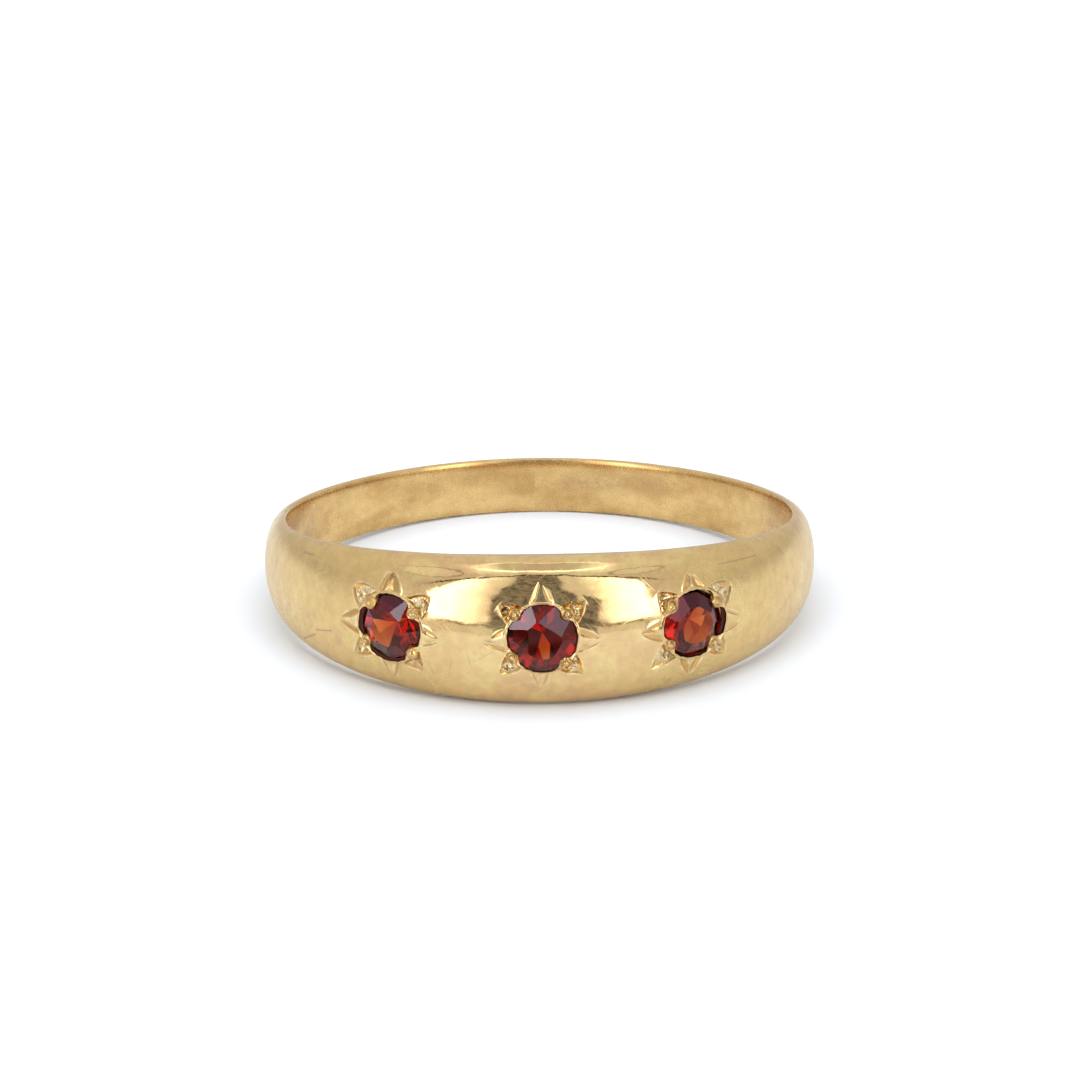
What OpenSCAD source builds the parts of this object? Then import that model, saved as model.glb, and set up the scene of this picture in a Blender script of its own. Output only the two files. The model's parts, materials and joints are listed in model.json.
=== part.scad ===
// Three-stone ring: a tapering gold band with three round garnets sunk into its head.
// Each stone is held by four grains of the band's own metal inside an engraved eight-point star.
// Millimetres. The ring lies on its side, as it does on a table, with the stones towards -Y.

/* [Finger hole] */
// Inside diameter of the band
finger_d = 18.0; // [15:0.1:22]

/* [Band] */
// Width of the band at the middle of its head
head_w = 5.35; // [4.6:0.05:6.5]
// Width of the band at the back of the finger
shank_w = 2.0; // [1.6:0.05:3]
// How quickly the width falls away from the head, a power
width_taper = 1.75; // [1.3:0.05:2.5]
// Thickness of the metal at the middle of the head
head_t = 1.45; // [1.4:0.05:2]
// Thickness of the metal at the sides and back
shank_t = 0.8; // [0.7:0.05:1.2]
// How quickly the thickness falls away from the head, a power
thickness_taper = 1.3; // [1:0.05:2]
// Fullness of the domed section: 0.5 is half an ellipse, less is squarer
dome_power = 0.4; // [0.3:0.01:0.6]

/* [Stones] */
// Diameter of each garnet at its girdle
stone_d = 2.45; // [2.2:0.05:2.6]
// Angle round the finger from one stone to the next
stone_spacing = 31.3; // [28:0.1:36]
// Angle that the row of stones sits off the middle of the head
stone_offset = -0.5; // [-1.5:0.1:1.5]
// Width of the flat table, as a share of the diameter
table_share = 0.56; // [0.5:0.01:0.65]
// Height of the crown above the girdle, as a share of the diameter
crown_share = 0.15; // [0.12:0.01:0.17]
// Depth of the pavilion below the girdle, as a share of the diameter
pavilion_share = 0.42; // [0.38:0.01:0.43]
// Thickness of the girdle
girdle_t = 0.06; // [0.03:0.01:0.1]
// Depth of the girdle's top below the crest of the metal
girdle_sink = 0.13; // [0.08:0.01:0.2]
// Gap between a stone and its seat
seat_gap = 0.03; // [0.02:0.01:0.05]
// Diameter of the drilled hole behind each stone
light_hole_d = 1.3; // [1:0.1:1.5]

/* [Star settings] */
// Distance from a stone's middle to the tips of the straight rays
ray_reach = 2.05; // [1.9:0.05:2.2]
// Distance from a stone's middle to the tips of the corner recesses
corner_reach = 2.0; // [1.9:0.05:2.2]
// Depth of a ray's cut where it meets the stone
ray_depth = 0.17; // [0.1:0.01:0.2]
// Half the width of one graver cut where it meets the stone
cut_half_w = 0.14; // [0.08:0.01:0.18]
// How far each cut of a pair starts to the side of the ray's own line
cut_spread = 0.33; // [0.25:0.01:0.4]
// Width of a corner recess's floor at the stone
corner_floor_w = 0.5; // [0.3:0.01:0.6]
// Depth of a corner recess at the stone
corner_depth = 0.16; // [0.1:0.01:0.2]
// Diameter of the round grains that hold a stone
grain_d = 0.42; // [0.34:0.01:0.5]
// Distance from a stone's middle to the middle of each grain
grain_reach = 1.33; // [1.28:0.01:1.4]

/* [Hidden] */
$fn = 96;

finger_r = finger_d / 2;

// Sizes of a stone and of the seat that clears it
stone_r = stone_d / 2;
table_r = stone_r * table_share;
crown_h = stone_d * crown_share;
pavilion_h = stone_d * pavilion_share;
seat_r = stone_r + seat_gap;
well_r = seat_r + 0.02;
foot_share = 0.22;

// How finely the band's skin is divided, round the finger and across the band
band_sections = 96;
section_steps = 22;
// Slant at which the dome gives way to the flat side, and how far the skin is closed inside the hole
side_slant = 80;
inner_skin = 0.5;

// Grooves start inside the well, and their cutter stands this far above the skin
ray_root = 1.2;
cut_lift = 0.12;
groove_steps = 4;
groove_fade = 1.5;
graver_edge = 0.015;
corner_flare = 0.5;
tip_spread = 0.06;

// A grain's middle lies this far above the skin, on a root that spreads downwards
grain_rise = 0.03;
grain_root_h = 0.32;
grain_neck_d = 0.9 * grain_d;
grain_root_d = 1.4 * grain_d;

// Cutters run this far past the metal
past = 1;

// Angle of each stone round the finger, 0 being the middle of the head
left_angle = stone_offset - stone_spacing;
centre_angle = stone_offset;
right_angle = stone_offset + stone_spacing;

// Width and thickness of the band at an angle from the middle of the head
function band_w(a) = shank_w + (head_w - shank_w) * pow((1 + cos(a)) / 2, width_taper);
function band_t(a) = shank_t + (head_t - shank_t) * pow(max(0, cos(a)), thickness_taper);

// Distance of the outer skin from the finger's axis, at an angle and a height across the band
function skin_r(a, z) =
    let (across = min(1, abs(z) / (band_w(a) / 2)) * sin(side_slant))
    finger_r + band_t(a) * pow(1 - across * across, dome_power);

// A point given by its distance, angle and height round the finger
function round_finger(r, a, z) = [r * sin(a), -r * cos(a), z];

// The domed outer skin of one section, from its lower flat side to its upper one
function skin_points(a) = [
    for (i = [0 : section_steps])
        let (slant = side_slant * (2 * i / section_steps - 1))
        round_finger(
            finger_r + band_t(a) * pow(cos(slant), 2 * dome_power),
            a,
            band_w(a) / 2 * sin(slant) / sin(side_slant)
        )
];

// The same section closed by a line inside the finger hole
function section_points(a) = [
    round_finger(finger_r - inner_skin, a, -band_w(a) / 2),
    each skin_points(a),
    round_finger(finger_r - inner_skin, a, band_w(a) / 2)
];

// Lying flat: the line from the head's inner edge to the back's flat side becomes level on z = 0
back_side_r = finger_r + shank_t * pow(cos(side_slant), 2 * dome_power);
rest_tilt = atan((head_w - shank_w) / 2 / (finger_r + back_side_r));
rest_lift = head_w / 2 * cos(rest_tilt) - finger_r * sin(rest_tilt);
function tilted(p) = [
    p.x,
    p.y * cos(rest_tilt) + p.z * sin(rest_tilt),
    p.z * cos(rest_tilt) - p.y * sin(rest_tilt)
];

// The ring's middle, front to back, goes over the origin
table_out = finger_r + head_t - girdle_sink + crown_h;
table_edge = [for (y = [-table_r, table_r]) [0, -table_out, y]];
front_reach = min([for (p = concat(skin_points(0), table_edge)) tilted(p).y]);
back_reach = max([for (p = skin_points(180)) tilted(p).y]);
rest_shift = -(front_reach + back_reach) / 2;

module at_rest() {
    translate([0, rest_shift, rest_lift]) rotate([-rest_tilt, 0, 0]) children();
}

// A stone's own frame: x along the band, y across it, z straight out of the metal
module at_stone(a) {
    rotate([0, 0, a]) translate([0, -skin_r(a, 0), 0]) rotate([90, 0, 0]) children();
}

// Height of the outer skin in the frame of the stone at angle a
function skin_z(a, x, y) =
    let (r = skin_r(a + asin(x / skin_r(a, 0)), y))
    sqrt(r * r - x * x) - skin_r(a, 0);

// A point over the skin: a distance along a direction, an offset to its left and a lift
function over_skin(a, turn, along, aside, lift) =
    let (x = along * cos(turn) - aside * sin(turn), y = along * sin(turn) + aside * cos(turn))
    [x, y, skin_z(a, x, y) + lift];

// The band's outer form as one closed skin through evenly spaced sections
module band_form() {
    row = section_steps + 3;
    points = [for (s = [0 : band_sections - 1]) each section_points(360 * s / band_sections)];
    faces = [
        for (s = [0 : band_sections - 1], i = [0 : row - 1])
            let (
                s2 = (s + 1) % band_sections,
                i2 = (i + 1) % row,
                near = s * row + i,
                near_up = s * row + i2,
                far = s2 * row + i,
                far_up = s2 * row + i2
            )
            each [[near, near_up, far_up], [near, far_up, far]]
    ];
    polyhedron(points, faces, convexity = 6);
}

// One engraved groove that follows the skin from beside a stone out to a point. Its floor is flat,
// its walls flare, and its depth and width fade together towards the tip.
module groove(a, turn, root_aside, tip_aside, reach, depth, floor_half_w, flare) {
    points = [
        for (s = [0 : groove_steps])
            let (
                part = s / groove_steps,
                fade = 1 - pow(part, groove_fade),
                along = ray_root + (reach - ray_root) * part,
                middle = root_aside + (tip_aside - root_aside) * part,
                low = floor_half_w * fade + graver_edge,
                high = low + flare * (depth * fade + cut_lift)
            )
            each [
                over_skin(a, turn, along, middle - low, -depth * fade),
                over_skin(a, turn, along, middle + low, -depth * fade),
                over_skin(a, turn, along, middle + high, cut_lift),
                over_skin(a, turn, along, middle - high, cut_lift)
            ]
    ];
    last = 4 * groove_steps;
    faces = [
        [0, 1, 2],
        [0, 2, 3],
        for (s = [0 : groove_steps - 1], i = [0 : 3])
            let (p = 4 * s + i, q = 4 * s + (i + 1) % 4)
            each [[p, q + 4, q], [p, p + 4, q + 4]],
        [last, last + 2, last + 1],
        [last, last + 3, last + 2]
    ];
    polyhedron(points, faces, convexity = 2);
}

// One leaf-shaped graver cut of the pair that makes a ray
module graver_cut(a, turn, side) {
    groove(a, turn, side * cut_spread, side * tip_spread, ray_reach, ray_depth, 0, cut_half_w / ray_depth);
}

// One corner recess: a sunk triangle that points outwards, behind a grain
module corner_recess(a, turn) {
    groove(a, turn, 0, 0, corner_reach, corner_depth, corner_floor_w / 2, corner_flare);
}

// The star round one stone: four rays of two cuts each, and four corner recesses
module star_cuts(a) {
    for (quarter = [0 : 3]) {
        for (side = [-1, 1]) graver_cut(a, 90 * quarter, side);
        corner_recess(a, 90 * quarter + 45);
    }
}

// The open well that clears the metal above one stone's girdle
module stone_well() {
    well_floor = -girdle_sink - girdle_t / 2;
    translate([0, 0, well_floor]) cylinder(h = past, r = well_r);
}

// The room for one stone with the gap round it, and the light hole drilled through to the finger
module stone_seat() {
    bearing_z = -girdle_sink - girdle_t;
    bearing_depth = (seat_r - light_hole_d / 2) * pavilion_h / stone_r;
    crown_slope = crown_h / (stone_r - table_r);
    crown_z = crown_slope * (seat_r - table_r) - girdle_sink;
    rotate_extrude() polygon([
        [0, -head_t - past],
        [light_hole_d / 2, -head_t - past],
        [light_hole_d / 2, bearing_z - bearing_depth],
        [seat_r, bearing_z],
        [seat_r, -girdle_sink],
        [table_r, crown_z],
        [0, crown_z]
    ]);
}

// Four grains raised from the metal over the stone's edge: a round bead on a spreading root
module grains(a) {
    for (quarter = [0 : 3]) translate(over_skin(a, 90 * quarter + 45, grain_reach, 0, grain_rise)) {
        sphere(d = grain_d, $fn = 32);
        translate([0, 0, -grain_root_h])
            cylinder(h = grain_root_h, d1 = grain_root_d, d2 = grain_neck_d, $fn = 32);
    }
}

// Evenly spaced corners of a level ring of facets
function facet_ring(count, r, z, start = 0) =
    [for (i = [0 : count - 1]) let (a = start + 360 * i / count) [r * cos(a), r * sin(a), z]];

// A round brilliant: table, stars, kites and halves above a girdle, mains and halves below it
module brilliant() {
    half_step = 22.5;
    waist_r = (table_r * cos(half_step) + stone_r) / 2;
    waist_z = crown_h * (stone_r - waist_r * cos(half_step)) / (stone_r - table_r);
    foot_r = stone_r * foot_share;
    foot_z = -girdle_t - pavilion_h * (1 - foot_share * cos(half_step));
    points = [
        each facet_ring(8, table_r, crown_h),
        each facet_ring(8, waist_r, waist_z, half_step),
        each facet_ring(16, stone_r, 0),
        each facet_ring(16, stone_r, -girdle_t),
        each facet_ring(8, foot_r, foot_z, half_step),
        [0, 0, -girdle_t - pavilion_h]
    ];
    waist = 8;
    girdle_top = 16;
    girdle_foot = 32;
    foot = 48;
    culet = 56;
    faces = [
        [for (i = [7 : -1 : 0]) i],
        for (i = [0 : 7])
            let (next = (i + 1) % 8, last = (i + 7) % 8, g = 2 * i, g1 = 2 * i + 1, g2 = (2 * i + 2) % 16)
            each [
                [i, next, waist + i],
                [i, waist + i, girdle_top + g],
                [i, girdle_top + g, waist + last],
                [waist + i, girdle_top + g1, girdle_top + g],
                [waist + i, girdle_top + g2, girdle_top + g1],
                [foot + i, girdle_foot + g, girdle_foot + g1],
                [foot + i, girdle_foot + g1, girdle_foot + g2],
                [culet, girdle_foot + g, foot + i],
                [culet, foot + last, girdle_foot + g]
            ],
        for (g = [0 : 15])
            let (next = (g + 1) % 16)
            [girdle_top + g, girdle_top + next, girdle_foot + next, girdle_foot + g]
    ];
    polyhedron(points, faces, convexity = 2);
}

module garnet(a) {
    color("#8a1f17") at_rest() at_stone(a) translate([0, 0, -girdle_sink]) brilliant();
}

module band() {
    stone_angles = [left_angle, centre_angle, right_angle];
    color("#d9b878") at_rest() difference() {
        union() {
            difference() {
                band_form();
                for (a = stone_angles) at_stone(a) {
                    stone_well();
                    star_cuts(a);
                }
            }
            for (a = stone_angles) at_stone(a) grains(a);
        }
        cylinder(h = head_w + 2 * past, r = finger_r, center = true);
        for (a = stone_angles) at_stone(a) stone_seat();
    }
}

module stone_left() {
    garnet(left_angle);
}

module stone_centre() {
    garnet(centre_angle);
}

module stone_right() {
    garnet(right_angle);
}

band();
stone_left();
stone_centre();
stone_right();
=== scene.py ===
"""Looks of a three-stone ring lying on its side: a tapering gold band with three garnets in engraved stars.

Shapes are worked out in millimetres and radians in the ring's own frame, where the finger's axis is Z and
the middle of the head faces -Y. laid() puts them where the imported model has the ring, in metres.
"""
import json
import math
from dataclasses import dataclass
import bpy
import numpy as np
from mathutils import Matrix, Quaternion, Vector


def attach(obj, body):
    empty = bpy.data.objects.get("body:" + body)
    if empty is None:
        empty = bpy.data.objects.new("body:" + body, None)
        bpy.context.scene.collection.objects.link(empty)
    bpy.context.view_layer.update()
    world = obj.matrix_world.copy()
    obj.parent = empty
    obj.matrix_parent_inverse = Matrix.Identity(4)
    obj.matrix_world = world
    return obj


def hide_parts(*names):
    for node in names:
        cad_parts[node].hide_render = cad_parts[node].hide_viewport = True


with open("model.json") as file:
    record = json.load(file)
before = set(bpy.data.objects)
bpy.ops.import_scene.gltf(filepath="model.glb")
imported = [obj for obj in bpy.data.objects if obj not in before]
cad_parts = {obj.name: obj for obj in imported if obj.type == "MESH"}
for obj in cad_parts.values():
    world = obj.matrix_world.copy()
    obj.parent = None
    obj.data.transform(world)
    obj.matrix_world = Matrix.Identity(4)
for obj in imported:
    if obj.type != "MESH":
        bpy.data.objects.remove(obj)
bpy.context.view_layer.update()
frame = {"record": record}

MM = 0.001
WHOLE_TURN = 2 * math.pi

# The finger hole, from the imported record
BORE = frame["record"]["mounts"][0]
FINGER_R = BORE["dims"]["r_mm"]
HEAD_W = BORE["dims"]["length_mm"]
RING_MIDDLE = np.array(BORE["pos_m"])
REST_TILT = math.atan2(BORE["axis"][1], BORE["axis"][2])

# The band's taper and dome, as its solid has them, and its shank a hair thinner
SHANK_W = 2.0
WIDTH_TAPER = 1.75
HEAD_T = 1.45
SHANK_T = 0.797
THICKNESS_TAPER = 1.3
DOME_POWER = 0.4
SIDE_SLANT = math.radians(80)

# The stones' cut, in shares of a stone's radius, and their seats
TABLE_SHARE = 0.56
CROWN_SHARE = 0.25
CROWN_SLOPE = 0.68
OPEN_SHARE = 0.84
GIRDLE_T = 0.06
GIRDLE_STEPS = 72
LOWER_STEEPER = 1.6
SEAT_GAP = 0.02
BEARING_GAP = 0.01
LIGHT_HOLE_R = 0.65
HOLE_FLARE = 0.05
LEAD_IN = 0.35
STONE_SPACING = math.radians(31.3)
STONE_OFFSET = math.radians(-0.5)

# How the band's mesh is divided: each star sits in a patch whose columns follow the cuts
PATCH_CELLS = 64
PATCH_HALF_TURN = math.radians(13.4)
PATCH_SLANT = math.radians(68)
CROWDING = 0.45
COLUMNS_BETWEEN = 5
SHANK_COLUMNS = 140
STRIP_COLUMNS = 4 * PATCH_CELLS

# The section's side: a flat on the head, shaped like a lens, and round edges that meet elsewhere
MARGIN_SLANTS = np.radians([70, 72.2, 74.5])
FLAT_W = 0.25
FLAT_HALF_TURN = math.radians(21)
BORE_EDGE_HEAD = 0.12
BORE_EDGE_SHANK = 0.34
BORE_PATCH_SHARE = 0.5
RIM_STEPS = 5
BORE_EDGE_STEPS = 6
BORE_STEPS = 5

# Rings of a star patch, from the seat's edge outwards
RIM_W = 0.06
STAR_R = 2.27
STAR_RINGS = 46
LIP_RINGS = 6
RELAX_RINGS = 7
LEAST_STEP = math.radians(0.2)

# Columns from a ray to its cuts' near edge, bottom and far edge, and from a corner's middle to its lines
CUT_COLUMNS = (1, 4, 7)
CORNER_COLUMNS = (-17, -13, 0, 13, 17)

# A leaf's outline: how late and how bluntly it closes, how wide it starts, and how it is widened
LEAF_CLOSING = 2.2
LEAF_BLUNTNESS = 0.7
LEAF_START = 0.78
LEAF_SPREAD = 1.12

# The engraving: the cuts, the corners' recesses, their hollows and their pitted floors
CUT_SLOPE = 0.36
WIDEST_CUT = 0.18
CUT_RAMP = 0.08
EDGE_BURR = 0.008
EDGE_FADE = 0.02
CORNER_DEPTH = 0.10
CORNER_WALL = 0.10
LEAST_FLOOR = 0.4
HOLLOW_DEPTH = 0.12
HOLLOW_FROM = 0.06
PIT_DEPTH = 0.018
PIT_SCALE = 26.0
PITS_FROM = 0.04
PITS_RAMP = 0.05

# The rim raised round a seat, and the metal that laps over the stone
RIM_LIFT = 0.03
RIM_HALF_W = 0.035
LAP_HALF_TURN = math.radians(14.5)
LAP_T = 0.045
LIP_T = 0.04
LIP_CLEAR = 0.006
LIP_ROUND = 0.004
GIRDLE_COVER = 0.03
SCALLOP = 0.010
SCALLOPS = 27

# A grain's profile outwards, in shares of its size: a ball, a groove and a collar
GRAIN_RINGS = np.array([0.15, 0.3, 0.42, 0.5, 0.56, 0.62, 0.7, 0.8, 0.9, 1.0, 1.08, 1.15])
CUPPED = np.array([0.78, 0.70, 0.56, 0.38, 0.24, 0.20, 0.28, 0.36, 0.30, 0.12, -0.20, -0.60])
DOMED = np.array([0.79, 0.76, 0.71, 0.66, 0.62, 0.56, 0.46, 0.30, 0.10, -0.12, -0.35, -0.60])
GRAIN_TOP = 0.8
GRAIN_STEPS = 36
GRAIN_SINK = 0.03
GRAIN_UNEVEN = 0.13

# Marks that the gold's colour follows: how sunk a place looks, for painted shade, and how bright, for a
# painted highlight
GROOVE_SUNK = 0.12
GRAIN_SUNK = 0.03
GRAIN_SHINE = 0.6


def band_w(angle):
    """Width of the band at an angle from the middle of the head."""
    return SHANK_W + (HEAD_W - SHANK_W) * ((1 + np.cos(angle)) / 2) ** WIDTH_TAPER


def band_t(angle):
    """Thickness of the band at its crest."""
    return SHANK_T + (HEAD_T - SHANK_T) * np.maximum(0, np.cos(angle)) ** THICKNESS_TAPER


def skin_r(angle, height):
    """Distance of the domed skin from the finger's axis."""
    across = np.minimum(1, np.abs(height) / (band_w(angle) / 2)) * math.sin(SIDE_SLANT)
    return FINGER_R + band_t(angle) * (1 - across**2) ** DOME_POWER


def at(x, y, z):
    """Points from their coordinates."""
    return np.stack(np.broadcast_arrays(x, y, z), -1)


def round_finger(r, angle, height):
    """Points of the ring's frame from their distance, angle and height."""
    return at(r * np.sin(angle), -r * np.cos(angle), height)


def laid(points):
    """Points of the ring's frame where the ring lies, in metres."""
    x, y, z = np.moveaxis(points, -1, 0)
    c = math.cos(REST_TILT)
    s = math.sin(REST_TILT)
    return at(x, y * c + z * s, z * c - y * s) * MM + RING_MIDDLE


def from_stone(angle, local):
    """Points in the ring's frame from a stone's: x along the band, y across it, z out of the metal."""
    x, y, z = np.moveaxis(local, -1, 0)
    c = math.cos(angle)
    s = math.sin(angle)
    out = z + skin_r(angle, 0.0)
    return at(x * c + out * s, x * s - out * c, y)


def to_stone(angle, points):
    """Points of the ring's frame in the stone's frame."""
    x, y, z = np.moveaxis(points, -1, 0)
    c = math.cos(angle)
    s = math.sin(angle)
    return at(x * c + y * s, z, x * s - y * c - skin_r(angle, 0.0))


def skin_z(angle, x, y):
    """Height of the skin in a stone's frame."""
    turn = np.zeros_like(x)
    for _ in range(3):
        turn = np.arcsin(x / skin_r(angle + turn, y))
    return skin_r(angle + turn, y) * np.cos(turn) - skin_r(angle, 0.0)


def over_bore(angle, x, y, lift=0.0):
    """Points of a stone's frame on the finger hole's wall, or off it."""
    return at(x, y, np.sqrt(FINGER_R**2 - x**2) - skin_r(angle, 0.0) + lift)


def over_skin(angle, x, y, lift):
    """Points of a stone's frame that stand off the skin, square to it."""
    step = 1e-3
    slope_x = (skin_z(angle, x + step, y) - skin_z(angle, x - step, y)) / (2 * step)
    slope_y = (skin_z(angle, x, y + step) - skin_z(angle, x, y - step)) / (2 * step)
    length = np.sqrt(1 + slope_x**2 + slope_y**2)
    return at(x - lift * slope_x / length, y - lift * slope_y / length, skin_z(angle, x, y) + lift / length)


def smooth(share):
    """0 to 1 with level ends."""
    share = np.clip(share, 0, 1)
    return share * share * (3 - 2 * share)


def aimed(r, degrees):
    """A place from its distance and direction."""
    turn = math.radians(degrees)
    return r * np.array([math.cos(turn), math.sin(turn)])


@dataclass
class Leaf:
    """One graver cut of a ray.

    Its edges start to the left of the ray's line and run to its tip. Its bottom lies between them, from -1
    at the near one to 1 at the far one.
    """

    near: float
    far: float
    tip_along: float
    tip_aside: float
    low: float

    def lines(self, turn, r):
        """Angles of its near edge, bottom and far edge at each radius, and the depth of its bottom."""
        tip_r = math.hypot(self.tip_along, self.tip_aside)
        part = np.clip((r - r[0]) / (tip_r - r[0]), 0, 1)
        swell = (1 - part**LEAF_CLOSING) ** LEAF_BLUNTNESS * np.minimum(1, LEAF_START + part)
        middle = (self.near + self.far) / 2 * (1 - part) + self.tip_aside * part
        half = (self.far - self.near) / 2 * LEAF_SPREAD * swell
        asides = [middle - half, middle + half * self.low, middle + half]
        depth = CUT_SLOPE * np.minimum(np.abs(half), WIDEST_CUT) * smooth((r - r[0]) / CUT_RAMP)
        return [turn + np.arcsin(aside / r) for aside in asides], depth


class Corner:
    """A corner recess.

    It has the directions of its sides at the stone, its tip, the bulge of its sides, how far its metal laps
    over the stone, its grain (distance, direction, size, 1 if cupped or 0 if domed) and its hollow
    (distance, direction, size).
    """

    def __init__(self, sides, tip, bulge, lap, grain, hollow):
        self.middle = math.radians(sum(sides) / 2)
        self.half = math.radians(abs(sides[1] - sides[0]) / 2)
        self.tip_r = tip[0]
        self.tip = math.radians(tip[1])
        self.bulge = bulge
        self.lap = lap
        self.grain = aimed(*grain[:2])
        self.grain_turn = math.radians(grain[1])
        self.grain_size, self.cup = grain[2:]
        self.hollow = aimed(*hollow[:2])
        self.hollow_size = hollow[2]

    def lines(self, r):
        """Angles of its wall, floor edge, middle, floor edge and wall, and the floor's depth."""
        part = np.clip((r - r[0]) / (self.tip_r - r[0]), 0, 1)
        middle = self.middle * (1 - part) + self.tip * part
        outer = self.half * (1 - part**self.bulge)
        inner = np.maximum(outer - CORNER_WALL / r, LEAST_FLOOR * outer)
        depth = CORNER_DEPTH * (1 - part**3) * smooth((r - r[0]) / CUT_RAMP)
        return [middle + off for off in (-outer, -inner, 0 * outer, inner, outer)], depth


@dataclass
class Star:
    """A stone in its star.

    hole is the oval edge of its seat (middle, half sizes), stone its radius, its girdle's depth and its
    pavilion's steepness, and shift its place in the seat. density is how deep its colour is, and the next
    number how many rings of its seat are darkened nearly black, as painted shade. Eight leaves and four
    corners go round it, counter-clockwise from the right.
    """

    name: str
    steps: int
    hole: tuple
    stone: tuple
    shift: tuple
    density: float
    soot: int
    table: tuple
    crown: list
    pavilion: list
    leaves: list
    corners: list

    def __post_init__(self):
        self.angle = STONE_OFFSET + self.steps * STONE_SPACING
        self.stone_r, self.sink, self.pavilion_share = self.stone
        self.leaves = [Leaf(*row) for row in self.leaves]

    def hole_r(self, turn):
        """Distance of the seat's edge from the stone's middle."""
        x, y, half_x, half_y = self.hole
        c = np.cos(turn)
        s = np.sin(turn)
        return half_x * half_y / np.hypot(half_y * c, half_x * s) + x * c + y * s

    def lip_r(self, turn):
        """Distance of the metal's edge, scalloped and drawn in over the stone at the corners."""
        r = self.hole_r(turn) + SCALLOP * np.sin(SCALLOPS * turn)
        for corner in self.corners:
            away = (turn - corner.grain_turn + math.pi) % WHOLE_TURN - math.pi
            r = r - corner.lap * np.exp(-((away / LAP_HALF_TURN) ** 4))
        return r

    def crown_z(self, r):
        """Height of the stone's crown."""
        return (self.stone_r - np.maximum(r, TABLE_SHARE * self.stone_r)) * CROWN_SLOPE - self.sink

    def ring_r(self, turn, share):
        """Radius of a ring a share of the way from the seat's rim to the star's end."""
        rim = self.hole_r(turn) + RIM_W
        return rim + (STAR_R - rim) * share

    def lines(self, shares):
        """Column, angle, depth and brightness of each line of the engraving, on each ring."""
        lines = []
        for quarter, corner in enumerate(self.corners):
            column = quarter * PATCH_CELLS
            turn = quarter * math.pi / 2
            r = self.ring_r(turn, shares)
            for side, leaf in zip((-1, 1), self.leaves[2 * quarter :]):
                columns = [column + side * off for off in CUT_COLUMNS]
                lines += cut_lines(columns, *leaf.lines(turn, r), (0, 1, 0))
            columns = [column + PATCH_CELLS // 2 + off for off in CORNER_COLUMNS]
            r = self.ring_r(corner.middle, shares)
            lines += cut_lines(columns, *corner.lines(r), (0, 1, 1, 1, 0))
        lines.sort(key=lambda line: line[0])
        columns, angles, depths, edges = [np.array(values) for values in zip(*lines)]
        return columns, kept_apart(angles), depths, edges


def cut_lines(columns, angles, depth, is_low):
    """The lines of one cut: sunk at its bottom, bright at its edges."""
    bright = np.minimum(1, depth / EDGE_FADE)
    return [(*line, depth * low, bright * (1 - low)) for *line, low in zip(columns, angles, is_low)]


def kept_apart(angles):
    """The lines' angles, each at least a small step past the one before."""
    steps = LEAST_STEP * np.arange(len(angles))[:, None]
    up = np.maximum.accumulate(angles - steps, axis=0) + steps
    down = np.minimum.accumulate((angles - steps)[::-1], axis=0)[::-1] + steps
    return (up + down) / 2
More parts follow.
